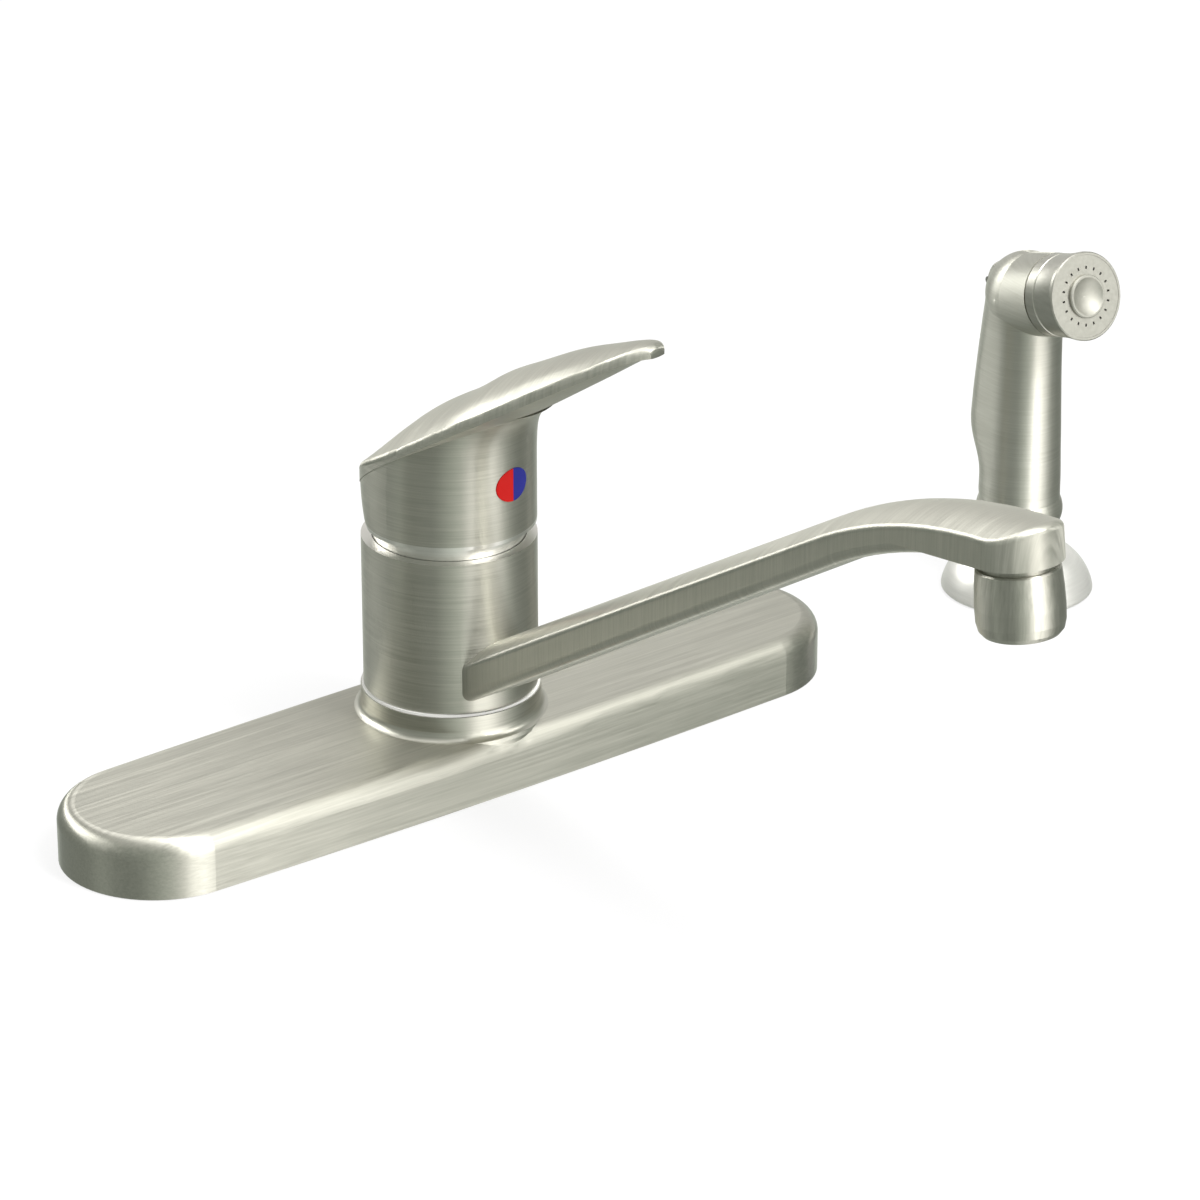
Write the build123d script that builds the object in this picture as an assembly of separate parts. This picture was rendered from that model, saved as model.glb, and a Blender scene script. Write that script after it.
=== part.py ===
from build123d import *
from math import cos, pi, radians, sin, sqrt, tan
import os

# Single-lever kitchen faucet on a three-hole deck plate, with a side spray.
# Millimetres. +Z is up and the sink deck is z = 0. +X runs along the plate
# towards the side spray, and the spout points to -Y at rest.
# The origin is the middle of the plate on the deck, on the valve body's axis.

# ---- driving dimensions: deck plate -----------------------------------------
HOLE_PITCH = 101.6          # between neighbouring holes of the sink ledge
DECK_THICKNESS = 20.0       # counter that the washers clamp against
PLATE_LENGTH = 251.0
PLATE_WIDTH = 58.1          # at the middle, where the long sides bow out
PLATE_END_R = 27.5
PLATE_HEIGHT = 16.4
PLATE_EDGE_R = 5.0
PLATE_WALL = 2.2
HUB_R = 25.1
HUB_TOP = 23.3
HUB_FLARE = 2.2
BOSS_R = 7.0
GASKET_THICKNESS = 3.0

# ---- driving dimensions: valve body and cartridge ---------------------------
FIT = 0.05                  # radial clearance of fixed round fits
RUN = 0.06                  # radial clearance of turning fits
SEAT = 0.05                 # air between faces that only rest on each other
COLUMN_R = 19.5
COLUMN_TOP = 60.0
FLANGE_R = 25.4
SEAL_Z = (28.0, 45.0)       # heights of the two spout seals
SEAL_SECTION = 2.6
CHAMBER_Z = (32.0, 41.0)    # ring chamber that feeds the turning spout
CHAMBER_DEPTH = 2.6
POCKET_R = 15.6
POCKET_FLOOR = 49.0
WATERWAY_R = 3.2
SUPPLY_X = 8.5
SUPPLY_Y = 5.0
OUTLET_Y = -9.0
TUBE_R = 4.76               # copper tube, three eighths of an inch
TUBE_WALL = 0.8
TUBE_BOTTOM = -120.0
FITTING_R = 7.1
FITTING_LENGTH = 16.0
NIPPLE_R = 6.6
NIPPLE_NECK_R = 5.1         # where it screws into the body
NIPPLE_GAP = 0.4            # so that it passes the gasket's hole
NIPPLE_TOP = -1.0
NIPPLE_BOTTOM = -36.0
CARTRIDGE_TOP = 58.0
CARTRIDGE_BORE_R = 10.0
PIVOT_Z = 60.0              # lever pivot inside the cartridge
NUT_FLANGE_R = 18.6
NUT_TOP = 65.0

# ---- driving dimensions: spout ----------------------------------------------
SLEEVE_R = 24.3
SLEEVE_BOTTOM = 24.2
RIM_Z = 68.4
RIM_WIDTH = 2.9
BONNET_R = 21.15
BONNET_TOP = 72.3
SPOUT_SLOPE = 30.9          # degrees above level, straight part
SPOUT_REACH = 227.1         # body axis to aerator axis
HEAD_RUN = 63.1             # from the aerator back to where the top starts to level out
SPOUT_BEND_Y = HEAD_RUN - SPOUT_REACH
SPOUT_ROOT_Z = 44.4         # crown line where it meets the sleeve
SPOUT_BEND_R = 150.0
SPOUT_END_SLOPE = 6.0
SPOUT_HALF_WIDTH = 12.0
SPOUT_HEAD_R = 11.5
SPOUT_CROWN = 3.4           # rise of the arched top over its side edges
SPOUT_DEPTH = 15.5          # crown to underside, upright, at the sleeve
UNDER_SLOPE = 31.55
UNDER_RUN = 56.1            # the same along the underside
UNDER_BEND_Y = UNDER_RUN - SPOUT_REACH
UNDER_BEND_R = 140.0
SPOUT_KEEL_R = 3.0          # rounding of the arm's lower edges
SPOUT_EDGE_R = 1.8
KEEL_END_Y = 22.1 - SPOUT_REACH
HEAD_RISE = 9.7             # head's mouth above the top line where it starts to level out
HEAD_BOTTOM_Z = SPOUT_ROOT_Z + (-SPOUT_BEND_Y - SLEEVE_R) * tan(radians(SPOUT_SLOPE)) + HEAD_RISE
AERATOR_TILT = 7.0
AERATOR_R = 11.1
AERATOR_LENGTH = 17.0
AERATOR_THREAD_R = 9.2
GROOVE = 1.7
AERATOR_NECK = 4.6           # thread length inside the head
MOUTH_DEPTH = 7.2

# ---- driving dimensions: lever handle ---------------------------------------
HANDLE_TURN = 9.0           # the lever stands a little towards the spray
HANDLE_BOTTOM = 72.6
SKIRT_R = 24.2
HANDLE_BORE_R = 21.3
HANDLE_ROOF = 3.0           # hollow's top below the lever's rim plane
LIFT_RANGE = 20.0
LEVER_EDGE_Z = 97.9         # lever's rim line above the body axis
LEVER_SLOPE = 0.60          # rise of that line per millimetre forwards
LEVER_LIP = 2.3
LEVER_RIM_R = 2.0           # rounding of the crown into the lip
STEM_HALF = 4.0
STEM_TOP = 90.0
DOT_HALF_WIDTH = 5.8
DOT_HALF_HEIGHT = 4.7
DOT_Z = 89.0

# ---- driving dimensions: side spray -----------------------------------------
SPRAY_X = 2 * HOLE_PITCH
SPRAY_Y = -11.0
BELL_R = 22.6
BELL_TOP = 13.0
NECK_R = 11.9
NECK_TOP = 20.4
GUIDE_R = 12.4
GUIDE_BORE_R = 9.2
GUIDE_BOTTOM = -45.0
WAND_TURN = -3.0            # the wand stands slightly turned in its holder
WAND_R = 12.0
WAND_TOP_R = 11.0
WAND_BOTTOM = 29.6
COLLAR_R = 12.9
ELBOW_Z = 93.3
HEAD_TILT = 15.4
HEAD_R = 12.3
ELBOW_R = 12.4
FACE_R = 12.9
FACE_AT = 27.6              # face plane ahead of the wand's axis
TRIGGER_HALF = 6.5
TRIGGER_PROUD = 0.5
TRIGGER_SINK = 2.6          # the lever's inner face below the wand's back
TRIGGER_PIN_Z = 97.0
TRIGGER_PIN_Y = 7.4
PLUNGER_Z = 78.0
PLUNGER_R = 2.2


# ---- helpers -----------------------------------------------------------------
def rod(radius, low, high, x=0.0, y=0.0):
    """Upright solid cylinder between two heights."""
    return Pos(x, y, (low + high) / 2) * Cylinder(radius, high - low)


def ring(outer, inner, low, high, x=0.0, y=0.0):
    """Upright tube between two heights."""
    return rod(outer, low, high, x, y) - rod(inner, low - 1, high + 1, x, y)


def turned(points):
    """Solid turned about Z from a closed outline of (radius, height) points."""
    outline = Polyline(*[(r, 0, z) for r, z in points], close=True)
    return revolve(make_face(outline), Axis.Z)


def block(low, high):
    """Box between two corners."""
    size = [b - a for a, b in zip(low, high)]
    middle = [(a + b) / 2 for a, b in zip(low, high)]
    return Pos(*middle) * Box(*size)


def cross_rod(radius, start, end):
    """Solid cylinder between two points."""
    axis = Vector(*end) - Vector(*start)
    plane = Plane(origin=start, z_dir=tuple(axis))
    return plane * Pos(0, 0, axis.length / 2) * Cylinder(radius, axis.length)


def outer_edges(solid, way):
    """Edges round the faces that look up (way 1) or down (way -1)."""
    faces = [f for f in solid.faces() if f.normal_at().Z * way > 0.5]
    edges = [e for f in faces for e in f.edges()]
    return [e for e in edges if sum(e.is_same(other) for other in edges) == 1]


def side_profile(edges, half_width):
    """Closed outline in the Y-Z plane, extruded both ways along X."""
    return extrude(make_face(edges), amount=half_width, dir=(1, 0, 0), both=True)


parts = {}


# ---- deck plate ----------------------------------------------------------------
def plate_outline(inset=0.0):
    """Long plate outline: bowed sides that run tangent into round ends."""
    half_width = PLATE_WIDTH / 2 - inset
    end_r = PLATE_END_R - inset
    centre = PLATE_LENGTH / 2 - PLATE_END_R
    side_r = (centre**2 + half_width**2 - end_r**2) / (2 * (half_width - end_r))
    drop = side_r - half_width
    x = centre * side_r / (side_r - end_r)
    y = drop * side_r / (side_r - end_r) - drop
    end = centre + end_r
    sides = ThreePointArc((-x, -y), (0, -half_width), (x, -y))
    sides += ThreePointArc((x, -y), (end, 0), (x, y))
    sides += ThreePointArc((x, y), (0, half_width), (-x, y))
    sides += ThreePointArc((-x, y), (-end, 0), (-x, -y))
    return make_face(sides)


def edges_at(solid, height, tolerance=0.01):
    """Edges that lie level at a height."""
    return [e for e in solid.edges()
            if abs(e.bounding_box().min.Z - height) < tolerance
            and abs(e.bounding_box().max.Z - height) < tolerance]


def hub_flare():
    """Concave foot of the hub; its lower part sinks into the plate's rounded edge."""
    top, foot = PLATE_HEIGHT + HUB_FLARE, HUB_R + HUB_FLARE
    curve = ThreePointArc((HUB_R, 0, top + 0.2), (HUB_R + 0.75, 0, PLATE_HEIGHT + 0.75), (foot, 0, PLATE_HEIGHT - 0.1))
    rest = Polyline((foot, 0, PLATE_HEIGHT - 0.1), (foot + 0.6, 0, PLATE_HEIGHT - 0.9), (foot + 0.85, 0, PLATE_HEIGHT - 2.2),
                    (foot + 0.85, 0, PLATE_HEIGHT - 4), (HUB_R - 2, 0, PLATE_HEIGHT - 4), (HUB_R - 2, 0, top + 0.2),
                    (HUB_R, 0, top + 0.2))
    return revolve(make_face(curve + rest), Axis.Z)


def deck_plate():
    body = extrude(plate_outline(), amount=PLATE_HEIGHT)
    body = fillet(edges_at(body, PLATE_HEIGHT), PLATE_EDGE_R)
    body += rod(HUB_R, PLATE_HEIGHT - 1, HUB_TOP) + hub_flare()
    ceiling = PLATE_HEIGHT - PLATE_WALL
    body -= extrude(plate_outline(PLATE_WALL), amount=ceiling)
    for side in (-1, 1):
        body += rod(BOSS_R, GASKET_THICKNESS + SEAT, ceiling, side * HOLE_PITCH)
        body -= rod(STUD_R + FIT, 0, ceiling - 1, side * HOLE_PITCH)
    for x in (-1.5 * HOLE_PITCH / 2, -HOLE_PITCH / 2 + 5, HOLE_PITCH / 2 - 5, 1.5 * HOLE_PITCH / 2):
        rib = block((x - 1, -PLATE_END_R + PLATE_WALL, GASKET_THICKNESS + 5),
                    (x + 1, PLATE_END_R - PLATE_WALL, ceiling))
        body += rib
    return body - rod(COLUMN_R + FIT, 0, HUB_TOP + 1)


def deck_gasket():
    """A flat pad that closes round the supply tubes and the spray outlet."""
    body = extrude(plate_outline(PLATE_WALL + 0.3), amount=GASKET_THICKNESS)
    body -= rod(NIPPLE_R + NIPPLE_GAP, -1, GASKET_THICKNESS + 1, 0, OUTLET_Y)
    for side in (-1, 1):
        body -= rod(TUBE_R + FIT, -1, GASKET_THICKNESS + 1, side * SUPPLY_X, SUPPLY_Y)
        body -= rod(STUD_R + 0.5, -1, GASKET_THICKNESS + 1, side * HOLE_PITCH)
    return body


STUD_R = 3.97               # five-sixteenths of an inch
STUD_BOTTOM = -62.0
WASHER_R = 15.0
NUT_R = 9.5
NUT_HEIGHT = 12.0


def mounting_studs():
    top = PLATE_HEIGHT - PLATE_WALL - 1 - SEAT
    return [chamfer(edges_at(s, STUD_BOTTOM), 0.8)
            for s in (rod(STUD_R, STUD_BOTTOM, top, side * HOLE_PITCH) for side in (-1, 1))]


def mounting_washers():
    top = -DECK_THICKNESS
    return [ring(WASHER_R, STUD_R + FIT, top - 2.0, top, side * HOLE_PITCH) for side in (-1, 1)]


def wing_nut(x, y, bore, top, body_r, height, wing_span):
    """Plastic nut with a flange and two finger wings."""
    body = rod(body_r, top - height, top, x, y) + rod(body_r + 3, top - 2.5, top, x, y)
    body += block((x - wing_span, y - 1.75, top - height), (x + wing_span, y + 1.75, top - 2.0))
    return body - rod(bore, top - height - 1, top + 1, x, y)


def mounting_nuts():
    top = -DECK_THICKNESS - 2.0 - SEAT
    return [wing_nut(side * HOLE_PITCH, 0, STUD_R + FIT, top, NUT_R, NUT_HEIGHT, 17) for side in (-1, 1)]


# ---- valve body, waterways and cartridge ---------------------------------------------
def valve_body():
    body = rod(FLANGE_R, GASKET_THICKNESS + SEAT, PLATE_HEIGHT - PLATE_WALL - SEAT)
    body += rod(COLUMN_R, GASKET_THICKNESS + SEAT, COLUMN_TOP)
    for z in SEAL_Z:
        low, high = z - 0.6 * SEAL_SECTION, z + 0.6 * SEAL_SECTION
        body -= ring(COLUMN_R + 1, COLUMN_R + RUN - SEAL_SECTION - FIT, low, high)
    body -= ring(COLUMN_R + 1, COLUMN_R - CHAMBER_DEPTH, *CHAMBER_Z)
    body -= rod(POCKET_R, POCKET_FLOOR, COLUMN_TOP + 1)
    socket_top = GASKET_THICKNESS + 10
    for side in (-1, 1):
        x = side * SUPPLY_X
        body -= rod(TUBE_R + FIT, 0, socket_top, x, SUPPLY_Y)
        body -= rod(WATERWAY_R, 0, POCKET_FLOOR + 1, x, SUPPLY_Y)
    body -= rod(WATERWAY_R, 0, POCKET_FLOOR + 1, 0, OUTLET_Y)
    body -= rod(NIPPLE_NECK_R + FIT, 0, socket_top, 0, OUTLET_Y)
    z = sum(CHAMBER_Z) / 2
    body -= cross_rod(DIVERTER_R + FIT, (0, OUTLET_Y + 4, z), (0, -COLUMN_R - 1, z))
    return body


DIVERTER_R = 4.2


def diverter():
    z = sum(CHAMBER_Z) / 2
    front = -COLUMN_R + CHAMBER_DEPTH
    body = cross_rod(DIVERTER_R, (0, OUTLET_Y + 4 - SEAT, z), (0, front, z))
    body -= cross_rod(1.6, (0, OUTLET_Y + 5, z), (0, front - 1, z))
    body -= rod(WATERWAY_R - 0.6, z - DIVERTER_R - 1, z + DIVERTER_R + 1, 0, OUTLET_Y)
    return body


def seal(z):
    """Rubber ring in its groove, running on the spout's bore."""
    section = SEAL_SECTION / 2 - FIT
    return Pos(0, 0, z) * Torus(COLUMN_R + RUN - FIT - section - 0.02, section)


def supply_tube(side):
    top = GASKET_THICKNESS + 10 - SEAT
    return ring(TUBE_R, TUBE_R - TUBE_WALL, TUBE_BOTTOM, top, side * SUPPLY_X, SUPPLY_Y)


def supply_fitting(side):
    x = side * SUPPLY_X
    low = TUBE_BOTTOM - 4
    body = rod(FITTING_R, low, low + FITTING_LENGTH, x, SUPPLY_Y)
    body = chamfer(edges_at(body, low), 0.8)
    body -= rod(TUBE_R + FIT, TUBE_BOTTOM - SEAT, low + FITTING_LENGTH + 1, x, SUPPLY_Y)
    return body - rod(TUBE_R - TUBE_WALL, low - 1, TUBE_BOTTOM + 1, x, SUPPLY_Y)


def spray_outlet_nipple():
    neck_top = GASKET_THICKNESS + 10 - SEAT
    body = rod(NIPPLE_NECK_R, NIPPLE_TOP - 3, neck_top, 0, OUTLET_Y)
    body += rod(NIPPLE_R, NIPPLE_BOTTOM, NIPPLE_TOP, 0, OUTLET_Y)
    body = chamfer(edges_at(body, NIPPLE_BOTTOM), 0.8)
    return body - rod(WATERWAY_R, NIPPLE_BOTTOM - 1, neck_top + 1, 0, OUTLET_Y)


def cartridge():
    body = rod(POCKET_R - FIT, POCKET_FLOOR + SEAT, CARTRIDGE_TOP)
    return body - rod(CARTRIDGE_BORE_R, POCKET_FLOOR + 2.5, CARTRIDGE_TOP + 1)


def cartridge_nut():
    opening = CARTRIDGE_BORE_R + 1
    body = rod(POCKET_R - FIT, CARTRIDGE_TOP + SEAT, COLUMN_TOP + 1)
    flange = extrude(RegularPolygon(NUT_FLANGE_R, 6, major_radius=True), amount=NUT_TOP - COLUMN_TOP - SEAT)
    body += Pos(0, 0, COLUMN_TOP + SEAT) * flange
    body += rod(NUT_FLANGE_R, COLUMN_TOP + SEAT, COLUMN_TOP + 2)
    return body - rod(opening, CARTRIDGE_TOP - 1, NUT_TOP + 1)


def bonnet():
    inner = NUT_FLANGE_R + FIT
    low = COLUMN_TOP + 0.75
    return turned([(inner, low), (BONNET_R, low), (BONNET_R, BONNET_TOP - 0.4), (BONNET_R - 0.4, BONNET_TOP),
                   (BONNET_R - 2, BONNET_TOP + 1.7), (13.2, BONNET_TOP + 1.7), (13.2, BONNET_TOP),
                   (inner, BONNET_TOP - 0.8)])


def stem_carrier():
    """Turning insert of the cartridge, with the slot that the stem tilts in."""
    low = POCKET_FLOOR + 2.6
    body = rod(CARTRIDGE_BORE_R - RUN, low, PIVOT_Z + 3)
    body -= block((-STEM_HALF - 0.3, -12, low + 2.2), (STEM_HALF + 0.3, 12, PIVOT_Z + 4))
    return body - cross_rod(PIVOT_R + 0.02, (-12, 0, PIVOT_Z), (12, 0, PIVOT_Z))


PIVOT_R = 1.5


def pivot_pin():
    reach = CARTRIDGE_BORE_R - RUN - 0.4
    return cross_rod(PIVOT_R, (-reach, 0, PIVOT_Z), (reach, 0, PIVOT_Z))


def lever_stem():
    body = block((-STEM_HALF, -STEM_HALF, PIVOT_Z - 5), (STEM_HALF, STEM_HALF, STEM_TOP))
    return body - cross_rod(PIVOT_R + RUN, (-12, 0, PIVOT_Z), (12, 0, PIVOT_Z))


# ---- spout ----------------------------------------------------------------------------
def spout_line(offset):
    """Path down the spout, a distance below its crown line: straight, bend, head."""
    slope, end = radians(SPOUT_SLOPE), radians(SPOUT_END_SLOPE)
    root_y = -SLEEVE_R + 10
    bend_z = SPOUT_ROOT_Z + (-SLEEVE_R - SPOUT_BEND_Y) * tan(slope)
    centre = (SPOUT_BEND_Y - SPOUT_BEND_R * sin(slope), bend_z - SPOUT_BEND_R * cos(slope))
    radius = SPOUT_BEND_R - offset
    middle = (slope + end) / 2

    def on_bend(angle):
        return (0, centre[0] + radius * sin(angle), centre[1] + radius * cos(angle))

    start = on_bend(slope)
    run = (start[1] - root_y) / -cos(slope)
    root = (0, start[1] + run * cos(slope), start[2] - run * sin(slope))
    last = on_bend(end)
    tip = (0, last[1] - 18 * cos(end), last[2] + 18 * sin(end))
    return root, start, on_bend(middle), last, tip


def spout_path(offset):
    root, start, middle, last, tip = spout_line(offset)
    return Line(root, start) + ThreePointArc(start, middle, last) + Line(last, tip)


def head_plane(along=0.0):
    """Plane across the aerator's axis, a distance down from the aerator's rim."""
    lean = radians(AERATOR_TILT)
    down = Vector(0, -sin(lean), -cos(lean))
    origin = Vector(0, -SPOUT_REACH, HEAD_BOTTOM_Z) + down * (GROOVE + along)
    return Plane(origin=tuple(origin), x_dir=(1, 0, 0), z_dir=(0, sin(lean), cos(lean)))


def spout_arm():
    slope = radians(SPOUT_SLOPE)
    half = SPOUT_HALF_WIDTH + 1.5
    arch_r = (SPOUT_HEAD_R**2 + SPOUT_CROWN**2) / (2 * SPOUT_CROWN)
    drop = arch_r - sqrt(arch_r**2 - half**2)
    root, start, _, last, _ = spout_line(0)
    across = Plane(origin=root, x_dir=(1, 0, 0), z_dir=(0, -cos(slope), sin(slope)))
    # across.y_dir points down or up the section; the sign puts the arch on top
    up = 1 if across.y_dir.Z > 0 else -1
    section = ThreePointArc((-half, -up * drop), (0, 0), (half, -up * drop))
    section += Line((half, -up * drop), (half, -up * 30))
    section += Line((half, -up * 30), (-half, -up * 30))
    section += Line((-half, -up * 30), (-half, -up * drop))
    arch = sweep(across * make_face(section), path=spout_path(0))

    # side view: underside of the arm, straight and then bending to the head
    under = SPOUT_ROOT_Z - SPOUT_DEPTH
    slope = radians(UNDER_SLOPE)
    y0, y1 = -8.0, UNDER_BEND_Y
    z0 = under + (-SLEEVE_R - y0) * tan(slope)
    z1 = under + (-SLEEVE_R - y1) * tan(slope)
    leave = radians(13.5)
    radius = UNDER_BEND_R
    centre = (y1 - radius * sin(slope), z1 - radius * cos(slope))

    def on_under(angle):
        return (0, centre[0] + radius * sin(angle), centre[1] + radius * cos(angle))

    lean = radians(AERATOR_TILT)
    joint = on_under(leave)
    end_y = -SPOUT_REACH - 20
    end_z = HEAD_BOTTOM_Z + 20 * tan(lean)
    profile = Line((0, y0, z0), (0, y1, z1))
    profile += ThreePointArc((0, y1, z1), on_under((slope + leave) / 2), joint)
    profile += Polyline(joint, (0, -SPOUT_REACH + 6, HEAD_BOTTOM_Z - 6 * tan(lean)), (0, end_y, end_z),
                        (0, end_y, 200), (0, y0, 200), (0, y0, z0))
    side = side_profile(profile, half)

    # top view: a bar with a round end, leaning with the aerator
    foot = -SPOUT_REACH - HEAD_BOTTOM_Z * tan(lean)
    plan = Line((-SPOUT_HEAD_R, foot), (-SPOUT_HALF_WIDTH, 0))
    plan += Line((-SPOUT_HALF_WIDTH, 0), (SPOUT_HALF_WIDTH, 0))
    plan += Line((SPOUT_HALF_WIDTH, 0), (SPOUT_HEAD_R, foot))
    plan += ThreePointArc((SPOUT_HEAD_R, foot), (0, foot - SPOUT_HEAD_R), (-SPOUT_HEAD_R, foot))
    bar = extrude(make_face(plan), amount=200 / cos(lean), dir=(0, sin(lean), cos(lean)))
    arm = arch & side & bar
    low = [e for e in outer_edges(arm, -1) if e.bounding_box().min.Y < -25 and e.bounding_box().max.Y > KEEL_END_Y]
    arm = fillet(low, SPOUT_KEEL_R)
    high = [e for e in outer_edges(arm, 1) if e.bounding_box().min.Y < -25]
    return fillet(high, SPOUT_EDGE_R)


def spout():
    body = spout_arm() + rod(SLEEVE_R, SLEEVE_BOTTOM, RIM_Z)
    body -= rod(COLUMN_R + RUN, SLEEVE_BOTTOM - 1, RIM_Z + 1)
    body -= rod(SLEEVE_R - RIM_WIDTH, COLUMN_TOP + 0.6, RIM_Z + 1)
    path = spout_path(SPOUT_DEPTH * cos(radians(SPOUT_SLOPE)) / 2)
    section = Plane(origin=path @ 0, z_dir=tuple(path % 0)) * Circle(WATERWAY_R)
    way = sweep(section, path=path) & block((-20, -SPOUT_REACH - 3, 0), (20, -COLUMN_R, 200))
    body -= way
    mouth = head_plane(-GROOVE) * Pos(0, 0, MOUTH_DEPTH / 2 - 1) * Cylinder(AERATOR_THREAD_R + FIT, MOUTH_DEPTH + 2)
    return body - mouth


def aerator_shell():
    """Threaded housing: neck up into the head, rounded barrel below."""
    top, length = GROOVE + AERATOR_NECK, AERATOR_LENGTH
    bore = AERATOR_R - 2.5
    points = [(bore, top), (AERATOR_THREAD_R, top), (AERATOR_THREAD_R, 0), (AERATOR_R - 1.0, 0),
              (AERATOR_R - 0.6, -0.4), (AERATOR_R - 0.2, -5), (AERATOR_R, -9.5), (AERATOR_R - 0.1, -13.5),
              (AERATOR_R - 0.6, -15.6), (AERATOR_R - 1.6, -length + 0.2), (AERATOR_R - 2.0, -length), (bore, -length)]
    return head_plane() * turned(points)


def aerator_insert():
    """Flow straightener: a plug with rings of fine holes."""
    bore = AERATOR_R - 2.5 - FIT
    body = Pos(0, 0, -AERATOR_LENGTH + 1.0 + 4) * Cylinder(bore, 8)
    for count, radius in ((6, 2.6), (12, 5.4)):
        for spot in PolarLocations(radius, count):
            body -= Pos(0, 0, -AERATOR_LENGTH + 5) * spot * Cylinder(0.85, 10)
    body -= Pos(0, 0, -AERATOR_LENGTH + 5) * Cylinder(0.85, 10)
    return head_plane() * body


def aerator_washer():
    top = GROOVE + MOUTH_DEPTH - SEAT
    return head_plane() * ring(AERATOR_THREAD_R, 6.0, GROOVE + AERATOR_NECK + SEAT, top)


def glide_ring():
    return ring(HUB_R - 0.3, COLUMN_R + FIT, HUB_TOP + SEAT, SLEEVE_BOTTOM - 0.1)


# ---- lever handle -----------------------------------------------------------------------
LEVER_STATIONS = (          # forwards, half width, crown above the rim, keel below it, rim's droop
    (-26.0, 24.6, 0.3, 5.6, 0.0),
    (-20.0, 24.6, 1.1, 5.6, 0.0),
    (-14.0, 24.6, 3.4, 5.6, 0.0),
    (-6.0, 24.6, 7.0, 5.6, 0.0),
    (6.0, 24.2, 8.9, 5.6, 0.0),
    (24.0, 21.4, 9.6, 5.4, 0.0),
    (42.0, 17.6, 8.15, 4.9, 0.0),
    (57.0, 13.2, 5.65, 4.0, 0.0),
    (68.0, 9.0, 3.1, 3.2, 0.0),
    (73.5, 5.6, 1.7, 2.8, 0.5),
    (76.6, 2.6, 0.5, 2.5, 1.6),
)


SKIRT_STATIONS = (          # height, how far the back stands off the axis, how far the front
    (HANDLE_BOTTOM, 21.9, SKIRT_R),
    (76.0, 22.9, SKIRT_R),
    (80.0, 23.7, SKIRT_R),
    (85.0, 24.1, SKIRT_R),
    (91.0, SKIRT_R, SKIRT_R),
    (97.0, SKIRT_R, 24.4),
    (102.0, SKIRT_R, 25.2),
    (106.0, SKIRT_R, 27.1),
    (109.5, SKIRT_R, 30.2),
    (112.5, SKIRT_R, 34.2),
)


def rim_line(forward):
    """Height of the lever's rim, a distance ahead of the body's axis."""
    return LEVER_EDGE_Z + LEVER_SLOPE * forward


def lever_section(forward, half, crown, keel, droop):
    y, top = -forward, rim_line(forward) - droop
    lip = top - LEVER_LIP
    outline = ThreePointArc((-half, y, top), (0, y, top + crown), (half, y, top))
    outline += Line((half, y, top), (half, y, lip))
    outline += ThreePointArc((half, y, lip), (0, y, top - keel), (-half, y, lip))
    outline += Line((-half, y, lip), (-half, y, top))
    return make_face(outline)


def skirt_section(height, back, front):
    """Level section of the skirt: half an ellipse behind, half one in front."""
    rear = Ellipse(SKIRT_R, back) & Pos(0, 50) * Rectangle(100, 100)
    fore = Ellipse(SKIRT_R, front) & Pos(0, -50) * Rectangle(100, 100)
    return Pos(0, 0, height) * (rear + fore).face()


def under_rim(offset):
    """Everything above the lever's rim plane moved down by an offset."""
    low, high = rim_line(-60) - offset, rim_line(60) - offset
    outline = Polyline((0, 60, low), (0, -60, high), (0, -60, 180), (0, 60, 180), close=True)
    return side_profile(outline, 40)


def lever_handle():
    blade = loft([lever_section(*station) for station in LEVER_STATIONS])
    low, high = PIVOT_Z, 2 * LEVER_EDGE_Z
    blade &= rod(SLEEVE_R, low, high) + block((-SLEEVE_R, -high, low), (SLEEVE_R, 0, high))
    crown = max(blade.faces(), key=lambda face: face.area * face.normal_at().Z)
    blade = fillet(crown.edges(), LEVER_RIM_R)
    skirt = loft([skirt_section(*station) for station in SKIRT_STATIONS])
    body = blade + (skirt - under_rim(LEVER_LIP / 2))
    hollow = rod(HANDLE_BORE_R, HANDLE_BOTTOM - 1, 130) - rod(2 * STEM_HALF, STEM_TOP - 11, 130)
    body -= hollow - under_rim(HANDLE_ROOF)
    # the skirt's back is cut so that it stays above the rim when the lever is lifted
    slope = tan(radians(LIFT_RANGE))
    lift = (RIM_Z + 0.2 - PIVOT_Z) / cos(radians(LIFT_RANGE))
    meet = (HANDLE_BOTTOM - PIVOT_Z - lift) / slope
    heel = Polyline((0, meet, HANDLE_BOTTOM), (0, 40, PIVOT_Z + lift + 40 * slope), (0, 40, 60), (0, meet, 60),
                    close=True)
    body -= side_profile(heel, 40)
    socket = STEM_HALF + FIT
    body -= block((-socket, -socket, 60), (socket, socket, STEM_TOP + FIT))
    front = -SLEEVE_R
    body -= oval(front - 2, front + 1.6, FIT)
    body -= cross_rod(2.8, (0, front - 2, SCREW_Z), (0, front + 4, SCREW_Z))
    return body - cross_rod(SCREW_R + FIT, (0, -12, SCREW_Z), (0, 0, SCREW_Z))


SCREW_R = 2.5
SCREW_Z = 87.4


def handle_screw():
    body = cross_rod(SCREW_R, (0, -9.5, SCREW_Z), (0, -STEM_HALF - SEAT, SCREW_Z))
    key = Plane(origin=(0, -9.5, SCREW_Z), z_dir=(0, 1, 0)) * extrude(RegularPolygon(1.4, 6), amount=2)
    return body - key


def oval(front, back, extra=0.0):
    """Oval plug through the skirt's front, between two distances along Y."""
    plane = Plane(origin=(0, back, DOT_Z), x_dir=(1, 0, 0), z_dir=(0, -1, 0))
    return extrude(plane * Ellipse(DOT_HALF_WIDTH + extra, DOT_HALF_HEIGHT + extra), amount=back - front)


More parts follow.
